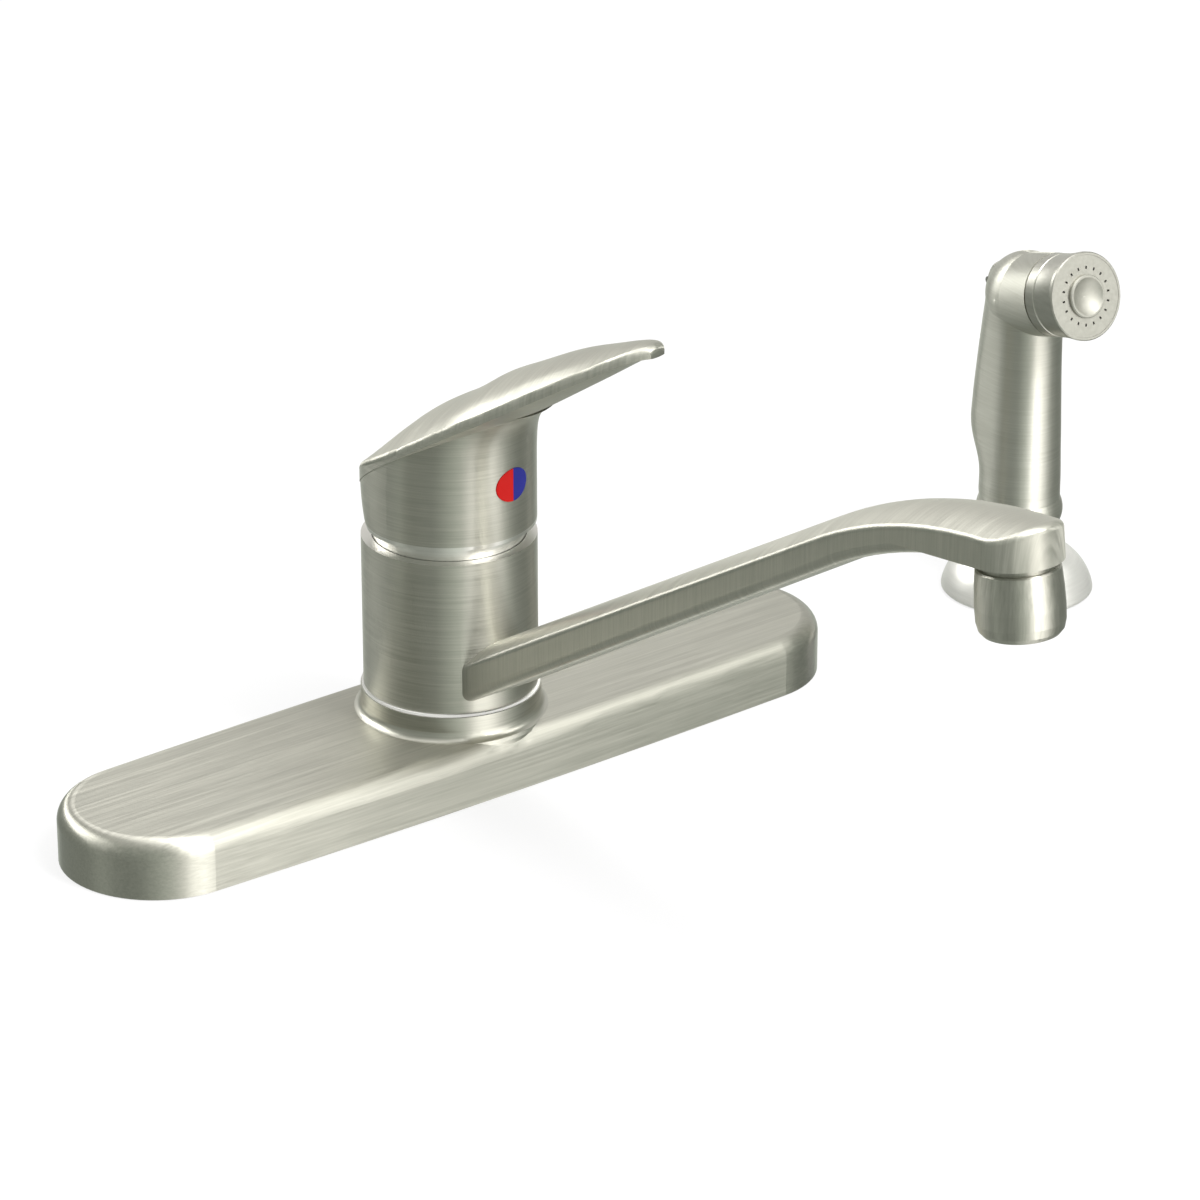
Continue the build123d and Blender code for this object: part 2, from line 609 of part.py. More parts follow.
def index_half(side):
    """Half of the round temperature mark, flush with the skirt."""
    front = -SLEEVE_R
    disc = oval(front - 2, front + 1.6 - SEAT)
    disc &= rod(SLEEVE_R + 0.15, 60, 120)
    low, high = (-10, -0.02) if side < 0 else (0.02, 10)
    return disc & block((low, -40, 60), (high, 0, 120))


# ---- side spray ---------------------------------------------------------------------------
def spray_holder():
    outline = Polyline((GUIDE_R + FIT, 0, 0), (BELL_R - 0.5, 0, 0), (BELL_R, 0, 0.5), (BELL_R, 0, 1.2))
    outline += ThreePointArc((BELL_R, 0, 1.2), (BELL_R - 3.2, 0, 8.0), (NECK_R + 1.2, 0, BELL_TOP))
    outline += Polyline((NECK_R + 1.2, 0, BELL_TOP), (NECK_R, 0, BELL_TOP + 0.8), (NECK_R, 0, NECK_TOP),
                        (GUIDE_R - 1.6, 0, NECK_TOP), (GUIDE_R - 1.6, 0, BELL_TOP - 2), (GUIDE_R + FIT, 0, BELL_TOP - 2),
                        (GUIDE_R + FIT, 0, 0))
    body = revolve(make_face(outline), Axis.Z)
    return body - turned([(GUIDE_R + 2.4, -1), (BELL_R - 2.2, -1), (BELL_R - 2.2, 1.6), (BELL_R - 4.6, 6.2),
                          (GUIDE_R + 2.4, 8.2)])


def holder_gasket():
    return ring(BELL_R - 2.4, GUIDE_R + 2.6, 0, 1.5)


def spray_guide():
    """Threaded plastic shank that lines the holder and guides the hose."""
    upper = GUIDE_R - 1.6 - FIT
    shelf = BELL_TOP - 2 - SEAT
    body = rod(GUIDE_R, GUIDE_BOTTOM, shelf) + rod(upper, shelf - 1, NECK_TOP + SEAT)
    body += rod(NECK_R - 0.3, NECK_TOP + SEAT, NECK_TOP + 0.6)
    body = chamfer(edges_at(body, GUIDE_BOTTOM), 0.8)
    return body - rod(GUIDE_BORE_R, GUIDE_BOTTOM - 1, NECK_TOP + 2)


def guide_nut():
    return wing_nut(0, 0, GUIDE_R + FIT, -DECK_THICKNESS, GUIDE_R + 3.2, 11, GUIDE_R + 9)


def wand_slot(height, radius, stretch):
    """Cross-section of the wand: a circle drawn out towards the back."""
    points = []
    for step in range(SLOT_POINTS):
        angle = 2 * pi * step / SLOT_POINTS
        share = 0.5 if step % (SLOT_POINTS // 2) == 0 else float(step < SLOT_POINTS / 2)
        points.append((radius * cos(angle), radius * sin(angle) + share * stretch, height))
    return make_face(Spline(*points, periodic=True))


SLOT_POINTS = 24
WAND_STEP = (ELBOW_Z - WAND_BOTTOM) / 12
WAND_GIRTH = (              # upwards in even steps: radius, how far the back stands out
    (12.0, 0.2), (11.95, 0.4), (11.85, 1.1), (11.7, 3.5), (11.6, 5.4), (11.45, 5.6), (11.3, 5.3),
    (11.15, 4.8), (11.05, 4.2), (11.0, 3.5), (11.0, 2.7), (11.2, 1.6), (11.6, 0.5),
)
WAND_STATIONS = [(WAND_BOTTOM + WAND_STEP * i, r, s) for i, (r, s) in enumerate(WAND_GIRTH)]


def back_of_wand(height):
    """How far the wand's back lies behind its axis at a height."""
    for (z0, r0, s0), (z1, r1, s1) in zip(WAND_STATIONS, WAND_STATIONS[1:]):
        if z0 <= height <= z1:
            share = (height - z0) / (z1 - z0)
            return r0 + s0 + share * (r1 + s1 - r0 - s0)
    return WAND_STATIONS[-1][1]


def barrel_plane(along=0.0):
    """Plane across the head's axis, a distance ahead of the elbow."""
    tilt = radians(HEAD_TILT)
    ahead = Vector(0, -cos(tilt), sin(tilt))
    origin = Vector(0, 0, ELBOW_Z) + ahead * along
    return Plane(origin=tuple(origin), x_dir=(1, 0, 0), z_dir=tuple(ahead))


def head_turned(points):
    """Solid turned about the head's axis from (radius, along) points."""
    return barrel_plane() * turned(points)


RING_AT = 14.2
BEZEL_AT = 18.3
TRIGGER_FLOOR = 6.5
TRIGGER_LOW = 48.0
TRIGGER_TOP = 101.0


def elbow(radius):
    """Ball at the top of the wand, its poles left and right."""
    return Pos(0, -0.5, ELBOW_Z + 0.5) * Rot(0, 90, 0) * Sphere(radius)


def wand_body():
    body = loft([wand_slot(*station) for station in WAND_STATIONS])
    body += elbow(ELBOW_R)
    body += head_turned([(0, 0), (HEAD_R, 0), (HEAD_R, RING_AT), (0, RING_AT)])
    # slot down the back for the thumb lever and its pin
    body -= block((-TRIGGER_HALF, TRIGGER_FLOOR, TRIGGER_LOW - 1.5), (TRIGGER_HALF, 30, TRIGGER_TOP + 0.6))
    body -= block((-TRIGGER_HALF, TRIGGER_PIN_Y - 3.2, TRIGGER_PIN_Z - 4), (TRIGGER_HALF, 30, TRIGGER_TOP + 0.6))
    body -= cross_rod(PIN_R + 0.02, (-9, TRIGGER_PIN_Y, TRIGGER_PIN_Z), (9, TRIGGER_PIN_Y, TRIGGER_PIN_Z))
    # waterway up the handle, valve bore and waterway along the head
    body -= rod(WATERWAY_R, WAND_BOTTOM - 1, PLUNGER_Z - 3.5, 0, -1)
    body -= cross_rod(PLUNGER_R + RUN, (0, TRIGGER_FLOOR + 1, PLUNGER_Z), (0, -2, PLUNGER_Z))
    body -= cross_rod(PLUNGER_R + 1.6, (0, 0, PLUNGER_Z), (0, -7.0, PLUNGER_Z))
    body -= rod(WATERWAY_R, PLUNGER_Z - 5, ELBOW_Z, 0, -5)
    body -= head_turned([(0, 3), (WATERWAY_R, 3), (WATERWAY_R, RING_AT + 1), (0, RING_AT + 1)])
    body -= rod(SOCKET_R + FIT, WAND_BOTTOM - 1, WAND_BOTTOM + 8)
    return body


SOCKET_R = 6.5
PIN_R = 1.2


def hose_connector():
    """Collar under the wand with the tail that the hose screws to."""
    outline = Polyline((WATERWAY_R, 0, -10), (7.4, 0, -10), (7.4, 0, 6), (8.9, 0, 7), (8.9, 0, 21.3), (11.4, 0, 21.3))
    outline += ThreePointArc((11.4, 0, 21.3), (COLLAR_R, 0, 26.0), (WAND_R, 0, WAND_BOTTOM - SEAT))
    outline += Polyline((WAND_R, 0, WAND_BOTTOM - SEAT), (SOCKET_R, 0, WAND_BOTTOM - SEAT),
                        (SOCKET_R, 0, WAND_BOTTOM + 7), (WATERWAY_R, 0, WAND_BOTTOM + 7), (WATERWAY_R, 0, -10))
    return revolve(make_face(outline), Axis.Z)


def head_ring():
    return head_turned([(WATERWAY_R + 2, RING_AT + SEAT), (HEAD_R - 0.5, RING_AT + SEAT), (HEAD_R - 0.1, RING_AT + 0.4),
                        (HEAD_R - 0.1, BEZEL_AT - 0.3), (HEAD_R - 0.5, BEZEL_AT), (WATERWAY_R + 2, BEZEL_AT)])


def head_bezel():
    """Flared ring that carries the spray face."""
    start = BEZEL_AT + SEAT
    outline = Polyline((HEAD_R - 2.5, 0, start), (HEAD_R - 0.4, 0, start), (HEAD_R - 0.1, 0, start + 0.4))
    outline += ThreePointArc((HEAD_R - 0.1, 0, start + 0.4), (HEAD_R + 0.1, 0, start + 4.4), (FACE_R, 0, FACE_AT - 1.2))
    outline += Polyline((FACE_R, 0, FACE_AT - 1.2), (FACE_R, 0, FACE_AT - 0.3), (FACE_R - 0.3, 0, FACE_AT),
                        (FACE_R - 0.9, 0, FACE_AT), (FACE_R - 0.9, 0, FACE_AT - 2.4), (HEAD_R - 2.5, 0, FACE_AT - 2.4),
                        (HEAD_R - 2.5, 0, start))
    return barrel_plane() * revolve(make_face(outline), Axis.Z)


JET_COUNT = 18
JET_CIRCLE_R = 8.3
EYE_R = 6.3


def spray_face():
    """Flat disc with a ring of jets round the centre button."""
    low = FACE_AT - 2.4 + SEAT
    body = Pos(0, 0, (low + FACE_AT - 0.1) / 2) * Cylinder(FACE_R - 0.9 - FIT, FACE_AT - 0.1 - low)
    for spot in PolarLocations(JET_CIRCLE_R, JET_COUNT):
        body -= Pos(0, 0, FACE_AT) * spot * Box(0.9, 0.55, 10)
    body -= Pos(0, 0, FACE_AT) * Cylinder(EYE_R - 1.4, 10)
    return barrel_plane() * body


def spray_eye():
    """Dished centre button, plugged into the face."""
    plug = EYE_R - 1.4 - FIT
    outline = Polyline((0, 0, FACE_AT - 4), (plug, 0, FACE_AT - 4), (plug, 0, FACE_AT - 0.1 + SEAT),
                       (EYE_R, 0, FACE_AT - 0.1 + SEAT), (EYE_R, 0, FACE_AT + 0.7), (EYE_R - 0.3, 0, FACE_AT + 1.0),
                       (EYE_R - 0.8, 0, FACE_AT + 1.0))
    rim, depth = EYE_R - 0.8, 2.0
    dish_r = (rim**2 + depth**2) / (2 * depth)
    half_way = FACE_AT - 1.0 + dish_r - sqrt(dish_r**2 - rim**2 / 4)
    outline += ThreePointArc((rim, 0, FACE_AT + 1.0), (rim / 2, 0, half_way), (0, 0, FACE_AT - 1.0))
    outline += Line((0, 0, FACE_AT - 1.0), (0, 0, FACE_AT - 4))
    return barrel_plane() * revolve(make_face(outline), Axis.Z)


def spray_trigger():
    """Thumb lever that lies along the wand's back and hinges at the head."""
    inner = [(0, back_of_wand(z) - TRIGGER_SINK, z) for z in (TRIGGER_LOW, 52, 58, 66, 74, 82)]
    inner += [(0, TRIGGER_PIN_Y + 1.2, TRIGGER_PIN_Z - 4.6), (0, TRIGGER_PIN_Y - 2.4, TRIGGER_PIN_Z - 2.6),
              (0, TRIGGER_PIN_Y - 2.4, TRIGGER_PIN_Z + 1.8), (0, TRIGGER_PIN_Y + 0.6, TRIGGER_TOP)]
    outer = [(0, 26, TRIGGER_TOP), (0, 26, TRIGGER_LOW)]
    body = side_profile(Polyline(*inner, *outer, close=True), TRIGGER_HALF - 0.35)
    skin = loft([wand_slot(z, r + TRIGGER_PROUD, s) for z, r, s in WAND_STATIONS])
    body &= skin + elbow(ELBOW_R + TRIGGER_PROUD)
    return body - cross_rod(PIN_R + RUN, (-9, TRIGGER_PIN_Y, TRIGGER_PIN_Z), (9, TRIGGER_PIN_Y, TRIGGER_PIN_Z))


def trigger_pin():
    return cross_rod(PIN_R, (-8.6, TRIGGER_PIN_Y, TRIGGER_PIN_Z), (8.6, TRIGGER_PIN_Y, TRIGGER_PIN_Z))


def valve_plunger():
    """Push rod of the spray valve: tip against the thumb lever, disc on its seat."""
    tip = back_of_wand(PLUNGER_Z) - TRIGGER_SINK - 0.4
    body = cross_rod(PLUNGER_R, (0, tip, PLUNGER_Z), (0, -2.4, PLUNGER_Z))
    return body + cross_rod(PLUNGER_R + 1.2, (0, -2.1, PLUNGER_Z), (0, -4.0, PLUNGER_Z))


# ---- build ---------------------------------------------------------------------------------
turn = Rot(0, 0, HANDLE_TURN)
spray = Pos(SPRAY_X, SPRAY_Y, 0)
wand = spray * Rot(0, 0, WAND_TURN)

parts["deck_plate"] = deck_plate()
parts["deck_gasket"] = deck_gasket()
parts["mounting_studs"] = mounting_studs()
parts["mounting_washers"] = mounting_washers()
parts["mounting_nuts"] = mounting_nuts()
parts["valve_body"] = valve_body()
parts["diverter"] = diverter()
parts["lower_seal"] = seal(SEAL_Z[0])
parts["upper_seal"] = seal(SEAL_Z[1])
for name, side in (("hot", -1), ("cold", 1)):
    parts[name + "_supply_tube"] = supply_tube(side)
    parts[name + "_supply_fitting"] = supply_fitting(side)
parts["spray_outlet_nipple"] = spray_outlet_nipple()
parts["cartridge"] = cartridge()
parts["cartridge_nut"] = cartridge_nut()
parts["bonnet"] = bonnet()
parts["glide_ring"] = glide_ring()
parts["spout"] = spout()
parts["aerator_shell"] = aerator_shell()
parts["aerator_insert"] = aerator_insert()
parts["aerator_washer"] = aerator_washer()
parts["stem_carrier"] = turn * stem_carrier()
parts["pivot_pin"] = turn * pivot_pin()
parts["lever_stem"] = turn * lever_stem()
parts["lever_handle"] = turn * lever_handle()
parts["handle_screw"] = turn * handle_screw()
parts["hot_mark"] = turn * index_half(-1)
parts["cold_mark"] = turn * index_half(1)
parts["spray_holder"] = spray * spray_holder()
parts["holder_gasket"] = spray * holder_gasket()
parts["spray_guide"] = spray * spray_guide()
parts["guide_nut"] = spray * guide_nut()
parts["wand_body"] = wand * wand_body()
parts["hose_connector"] = wand * hose_connector()
parts["head_ring"] = wand * head_ring()
parts["head_bezel"] = wand * head_bezel()
parts["spray_face"] = wand * spray_face()
parts["spray_eye"] = wand * spray_eye()
parts["spray_trigger"] = wand * spray_trigger()
parts["trigger_pin"] = wand * trigger_pin()
parts["valve_plunger"] = wand * valve_plunger()

os.makedirs("parts", exist_ok=True)
for name, shape in parts.items():
    if isinstance(shape, list):
        shape = Compound(children=shape)
    export_step(shape, f"parts/{name}.step")
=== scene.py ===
import math

import bpy
from mathutils import Matrix, Vector


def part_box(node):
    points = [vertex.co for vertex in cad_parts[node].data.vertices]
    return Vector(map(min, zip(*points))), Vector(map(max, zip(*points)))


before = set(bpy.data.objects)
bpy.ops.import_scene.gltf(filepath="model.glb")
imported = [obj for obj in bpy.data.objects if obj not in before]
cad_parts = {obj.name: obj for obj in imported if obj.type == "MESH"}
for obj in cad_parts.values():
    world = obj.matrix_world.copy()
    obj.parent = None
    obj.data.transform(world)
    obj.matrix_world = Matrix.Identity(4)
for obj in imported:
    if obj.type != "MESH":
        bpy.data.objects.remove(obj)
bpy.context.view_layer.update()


# ---------------------------------------------------------------------------
# Deck plate: a zinc casting, nickel plated, over a thin rubber gasket. It is
# linished along its length, so the grain runs left to right, and the raised
# hub in its middle is turned.
# ---------------------------------------------------------------------------

NICKEL_DARK = (0.405, 0.40, 0.352)      # the plating in its scratches
NICKEL_LIGHT = (0.515, 0.507, 0.45)     # and between them
COARSE_SCALE = 0.23                     # the broad streaks against the fine scratches
COARSE_SHARE = 0.12                     # and how much they count
NOISE_LOW, NOISE_HIGH = 0.32, 0.68      # between these lies most of a noise
SCRATCH_DEPTH = 0.00003
HIGHLIGHT_STRETCH = 0.85                # 0 is a round highlight, 1 a streak
UPRIGHT = (0.0, 0.0, 1.0)


def brushed_grain():
    """Scratches that run one way: a fine and a coarse noise, stretched by the vector that comes
    in. It puts out their colour, their roughness and their height."""
    group = bpy.data.node_groups.new("brushed grain", "ShaderNodeTree")
    for name, kind in (("Vector", "Vector"), ("Dark", "Color"), ("Light", "Color"),
                       ("Rough Low", "Float"), ("Rough High", "Float")):
        group.interface.new_socket(name=name, in_out="INPUT", socket_type="NodeSocket" + kind)
    for name, kind in (("Color", "Color"), ("Roughness", "Float"), ("Height", "Float")):
        group.interface.new_socket(name=name, in_out="OUTPUT", socket_type="NodeSocket" + kind)
    nodes, links = group.nodes, group.links
    inputs = nodes.new("NodeGroupInput")
    outputs = nodes.new("NodeGroupOutput")
    fine = nodes.new("ShaderNodeTexNoise")
    fine.inputs["Scale"].default_value = 1.0
    fine.inputs["Detail"].default_value = 3.0
    fine.inputs["Roughness"].default_value = 0.65
    coarse = nodes.new("ShaderNodeTexNoise")
    coarse.inputs["Scale"].default_value = COARSE_SCALE
    coarse.inputs["Detail"].default_value = 2.0
    both = nodes.new("ShaderNodeMix")
    both.data_type = "FLOAT"
    both.inputs["Factor"].default_value = COARSE_SHARE
    spread = nodes.new("ShaderNodeMapRange")
    spread.inputs["From Min"].default_value = NOISE_LOW
    spread.inputs["From Max"].default_value = NOISE_HIGH
    tint = nodes.new("ShaderNodeMix")
    tint.data_type = "RGBA"
    rough = nodes.new("ShaderNodeMapRange")
    links.new(inputs.outputs["Vector"], fine.inputs["Vector"])
    links.new(inputs.outputs["Vector"], coarse.inputs["Vector"])
    links.new(fine.outputs["Fac"], both.inputs["A"])
    links.new(coarse.outputs["Fac"], both.inputs["B"])
    links.new(both.outputs["Result"], spread.inputs["Value"])
    links.new(spread.outputs["Result"], tint.inputs["Factor"])
    links.new(inputs.outputs["Dark"], tint.inputs["A"])
    links.new(inputs.outputs["Light"], tint.inputs["B"])
    links.new(spread.outputs["Result"], rough.inputs["Value"])
    links.new(inputs.outputs["Rough Low"], rough.inputs["To Min"])
    links.new(inputs.outputs["Rough High"], rough.inputs["To Max"])
    links.new(tint.outputs["Result"], outputs.inputs["Color"])
    links.new(rough.outputs["Result"], outputs.inputs["Roughness"])
    links.new(both.outputs["Result"], outputs.inputs["Height"])


def brushed(name, grain, stretch_along, turned=0.0, dark=NICKEL_DARK, light=NICKEL_LIGHT,
            low=0.34, high=0.46, bump=0.22):
    """Brushed nickel. grain is how close the scratches lie along X, Y and Z, and turned is how
    many degrees they are turned about Z. They run from dark to light and from low to high
    roughness, stand out by bump, and draw each highlight out along stretch_along, if given."""
    material = bpy.data.materials.new(name)
    material.use_nodes = True
    nodes, links = material.node_tree.nodes, material.node_tree.links
    shader = nodes["Principled BSDF"]
    shader.inputs["Metallic"].default_value = 1.0
    place = nodes.new("ShaderNodeTexCoord")
    turn = nodes.new("ShaderNodeMapping")
    turn.vector_type = "TEXTURE"
    turn.inputs["Rotation"].default_value = (0.0, 0.0, math.radians(turned))
    stretch = nodes.new("ShaderNodeMapping")
    stretch.inputs["Scale"].default_value = grain
    scratches = nodes.new("ShaderNodeGroup")
    scratches.name = "scratches"
    scratches.node_tree = bpy.data.node_groups["brushed grain"]
    scratches.inputs["Dark"].default_value = (*dark, 1.0)
    scratches.inputs["Light"].default_value = (*light, 1.0)
    scratches.inputs["Rough Low"].default_value = low
    scratches.inputs["Rough High"].default_value = high
    relief = nodes.new("ShaderNodeBump")
    relief.inputs["Strength"].default_value = bump
    relief.inputs["Distance"].default_value = SCRATCH_DEPTH
    links.new(place.outputs["Object"], turn.inputs["Vector"])
    links.new(turn.outputs["Vector"], stretch.inputs["Vector"])
    links.new(stretch.outputs["Vector"], scratches.inputs["Vector"])
    links.new(scratches.outputs["Color"], shader.inputs["Base Color"])
    links.new(scratches.outputs["Roughness"], shader.inputs["Roughness"])
    links.new(scratches.outputs["Height"], relief.inputs["Height"])
    links.new(relief.outputs["Normal"], shader.inputs["Normal"])
    if stretch_along:
        shader.inputs["Anisotropic"].default_value = HIGHLIGHT_STRETCH
        smear = nodes.new("ShaderNodeCombineXYZ")
        for axis in range(3):
            smear.inputs[axis].default_value = stretch_along[axis]
        links.new(smear.outputs["Vector"], shader.inputs["Tangent"])
    return material


def plain(name, colour, roughness, metallic=0.0):
    """A finish that is the same all over."""
    material = bpy.data.materials.new(name)
    material.use_nodes = True
    shader = material.node_tree.nodes["Principled BSDF"]
    shader.inputs["Base Color"].default_value = (*colour, 1.0)
    shader.inputs["Roughness"].default_value = roughness
    shader.inputs["Metallic"].default_value = metallic
    return material


def dress(material, *names):
    """These solids of the frame take the material all over."""
    for name in names:
        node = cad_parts[name]
        node.data.materials.clear()
        node.data.materials.append(material)
        for face in node.data.polygons:
            face.material_index = 0


brushed_grain()
LENGTHWISE_GRAIN = (30.0, 1500.0, 1500.0)
TURNED_GRAIN = (40.0, 40.0, 1900.0)
plate_finish = brushed("plate brushed lengthwise", LENGTHWISE_GRAIN, (0.0, 0.6, 0.8))
turned_finish = brushed("turned edge", TURNED_GRAIN, None, low=0.28, high=0.36, bump=0.05)
black_rubber = plain("black rubber", (0.02, 0.02, 0.02), roughness=0.6)
dress(plate_finish, "deck_plate")
dress(black_rubber, "deck_gasket")

# the hub lies inside this radius and over this height, which is just under the plate's flat top
HUB_REACH = 0.0285
HUB_FOOT = 0.0161
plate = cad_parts["deck_plate"]
plate.data.materials.append(turned_finish)
for face in plate.data.polygons:
    if math.hypot(face.center.x, face.center.y) < HUB_REACH and face.center.z > HUB_FOOT:
        face.material_index = 1


# ---------------------------------------------------------------------------
# Mounting hardware under the deck: two steel studs screwed into the plate's
# bosses, each with a washer and a white plastic wing nut.
# ---------------------------------------------------------------------------

zinc_steel = plain("zinc plated steel", (0.56, 0.57, 0.58), roughness=0.35, metallic=1.0)
white_nylon = plain("white nylon", (0.78, 0.78, 0.75), roughness=0.45)
dress(zinc_steel, "mounting_studs", "mounting_washers")
dress(white_nylon, "mounting_nuts")


# ---------------------------------------------------------------------------
# Valve body and what it carries: a machined brass casting, its rubber seals,
# the diverter for the side spray, copper supply tubes and brass fittings.
# ---------------------------------------------------------------------------

raw_brass = plain("raw brass", (0.72, 0.50, 0.20), roughness=0.30, metallic=1.0)
raw_copper = plain("raw copper", (0.80, 0.42, 0.28), roughness=0.30, metallic=1.0)
grey_acetal = plain("grey acetal", (0.28, 0.29, 0.30), roughness=0.40)
dress(raw_brass, "valve_body", "hot_supply_fitting", "cold_supply_fitting")
dress(raw_brass, "spray_outlet_nipple", "cartridge_nut")
dress(raw_copper, "hot_supply_tube", "cold_supply_tube")
dress(black_rubber, "lower_seal", "upper_seal")
dress(white_nylon, "diverter", "cartridge", "glide_ring")
dress(grey_acetal, "stem_carrier")
dress(zinc_steel, "pivot_pin", "lever_stem", "handle_screw")


# ---------------------------------------------------------------------------
# Spout: a brass casting, sleeve and arm in one. The sleeve is turned, so its grain runs round
# it, and its rims are turned smoother and painted lighter as a painted highlight; the arm is
# linished across its length.
# ---------------------------------------------------------------------------

ARM_GRAIN = (45.0, 2300.0, 60.0)
# a smoother turned finish for the sleeve's rims and the bonnet, painted lighter than the nickel
# as a painted highlight
PAINTED_HIGHLIGHT_DARK = (0.66, 0.65, 0.61)
PAINTED_HIGHLIGHT_LIGHT = (0.72, 0.71, 0.67)
sleeve_finish = brushed("sleeve brushed round", TURNED_GRAIN, UPRIGHT)
arm_finish = brushed("arm brushed across", ARM_GRAIN, (0.0, -0.86, 0.51))
painted_highlight_finish = brushed("turned edge painted highlight", TURNED_GRAIN, None, dark=PAINTED_HIGHLIGHT_DARK,
                        light=PAINTED_HIGHLIGHT_LIGHT, low=0.30, high=0.36, bump=0.03)
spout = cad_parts["spout"]
dress(sleeve_finish, "spout")
spout.data.materials.append(arm_finish)
spout.data.materials.append(painted_highlight_finish)

# the arm is all that lies outside the sleeve, and the rims face up or down; the rims take the
# smoother finish with the painted highlight
SLEEVE_REACH = 0.0245
RIM_TILT = 0.4
for face in spout.data.polygons:
    if math.hypot(face.center.x, face.center.y) > SLEEVE_REACH:
        face.material_index = 1
    elif abs(face.normal.z) > RIM_TILT:
        face.material_index = 2


# ---------------------------------------------------------------------------
# Aerator: a turned brass shell screwed into the spout's mouth, with a plastic
# insert and a rubber washer inside. Its wall is bare.
# ---------------------------------------------------------------------------

UPRIGHT_GRAIN = (1500.0, 1500.0, 45.0)
aerator_finish = brushed("aerator brushed upright", UPRIGHT_GRAIN, UPRIGHT)
dress(aerator_finish, "aerator_shell")
dress(white_nylon, "aerator_insert")
dress(black_rubber, "aerator_washer")


# ---------------------------------------------------------------------------
# Bonnet: a turned brass cap that is screwed over the cartridge. It shows as a band between the
# sleeve and the handle, which turns on it; its lighter colour is a painted highlight.
# ---------------------------------------------------------------------------

dress(painted_highlight_finish, "bonnet")


# ---------------------------------------------------------------------------
# Lever handle: one zinc casting, a round skirt under a crowned blade. The skirt is brushed
# round, with its lowest edge smoother and painted lighter as a painted highlight, and the blade
# is brushed across.
# ---------------------------------------------------------------------------

HANDLE_TURN = 9.0           # degrees that the lever stands to the right of straight ahead
RIM_HEIGHT = 0.0969         # the underside of the blade's rim over the deck, at the body's axis
RIM_SLOPE = 0.60            # how much it rises for each step ahead
SKIRT_FRONT = 0.030         # all that is further ahead than this is blade
BLADE_GRAIN = (45.0, 1500.0, 45.0)
skirt_finish = brushed("skirt brushed round", TURNED_GRAIN, UPRIGHT)
blade_finish = brushed("blade brushed across", BLADE_GRAIN, (0.13, -0.84, 0.52),
                       turned=HANDLE_TURN)

# the lowest edge is a band of the skirt's own finish, told by its height: smoother, and painted
# lighter as a painted highlight
BAND_HEIGHT = 0.0011
BAND_FADE = 0.0001
BAND_PAINTED_HIGHLIGHT = (0.70, 0.69, 0.65)
BAND_ROUGHNESS = 0.30
nodes, links = skirt_finish.node_tree.nodes, skirt_finish.node_tree.links
skirt_shader, skirt_scratches = nodes["Principled BSDF"], nodes["scratches"]
height = nodes.new("ShaderNodeSeparateXYZ")
band = nodes.new("ShaderNodeMapRange")
band_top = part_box("lever_handle")[0][2] + BAND_HEIGHT
band.inputs["From Min"].default_value = band_top
band.inputs["From Max"].default_value = band_top - BAND_FADE
band_highlight_paint = nodes.new("ShaderNodeMix")
band_highlight_paint.data_type = "RGBA"
band_highlight_paint.inputs["B"].default_value = (*BAND_PAINTED_HIGHLIGHT, 1.0)
band_rough = nodes.new("ShaderNodeMix")
band_rough.data_type = "FLOAT"
band_rough.inputs["B"].default_value = BAND_ROUGHNESS
links.new(nodes["Texture Coordinate"].outputs["Object"], height.inputs["Vector"])
links.new(height.outputs["Z"], band.inputs["Value"])
links.new(band.outputs["Result"], band_highlight_paint.inputs["Factor"])
links.new(band.outputs["Result"], band_rough.inputs["Factor"])
links.new(skirt_scratches.outputs["Color"], band_highlight_paint.inputs["A"])
links.new(skirt_scratches.outputs["Roughness"], band_rough.inputs["A"])
links.new(band_highlight_paint.outputs["Result"], skirt_shader.inputs["Base Color"])
links.new(band_rough.outputs["Result"], skirt_shader.inputs["Roughness"])

# the blade is what lies over its rim or ahead of the skirt
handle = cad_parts["lever_handle"]
dress(skirt_finish, "lever_handle")
handle.data.materials.append(blade_finish)
lever_turn = math.radians(HANDLE_TURN)
forward = Vector((math.sin(lever_turn), -math.cos(lever_turn), 0.0))
for face in handle.data.polygons:
    ahead = face.center.dot(forward)
    if face.center.z > RIM_HEIGHT + RIM_SLOPE * ahead or ahead > SKIRT_FRONT:
        face.material_index = 1


# ---------------------------------------------------------------------------
# Hot and cold mark: two moulded half ovals of plastic, red and blue, pressed
# into a recess in the skirt's front. They have hardly any gloss.
# ---------------------------------------------------------------------------

MARK_GLOSS = 0.12
red_index = plain("red index", (0.55, 0.006, 0.004), roughness=0.5)
blue_index = plain("blue index", (0.018, 0.022, 0.24), roughness=0.5)
for index in (red_index, blue_index):
    shader = index.node_tree.nodes["Principled BSDF"]
    shader.inputs["Specular IOR Level"].default_value = MARK_GLOSS
dress(red_index, "hot_mark")
dress(blue_index, "cold_mark")


# ---------------------------------------------------------------------------
# Side spray holder: a bell-shaped foot in nickel-coloured plastic with its
# gasket, threaded guide and lock nut in the deck's fourth hole.
# ---------------------------------------------------------------------------

BELL_GRAIN = (60.0, 60.0, 1500.0)
BELL_METAL = 0.6
bell_finish = brushed("bell satin", BELL_GRAIN, None, dark=(0.62, 0.613, 0.58),
                      light=(0.68, 0.673, 0.64), low=0.34, high=0.42, bump=0.04)
bell_finish.node_tree.nodes["Principled BSDF"].inputs["Metallic"].default_value = BELL_METAL
dress(bell_finish, "spray_holder")
dress(black_rubber, "holder_gasket")
dress(grey_acetal, "spray_guide")
dress(white_nylon, "guide_nut")


# ---------------------------------------------------------------------------
# Spray wand: a plated plastic body, its hose connector and its head, with
# the thumb lever in the back that pushes the valve. The body is brushed
# round, and the head and the hollow of its eye are satin.
# ---------------------------------------------------------------------------

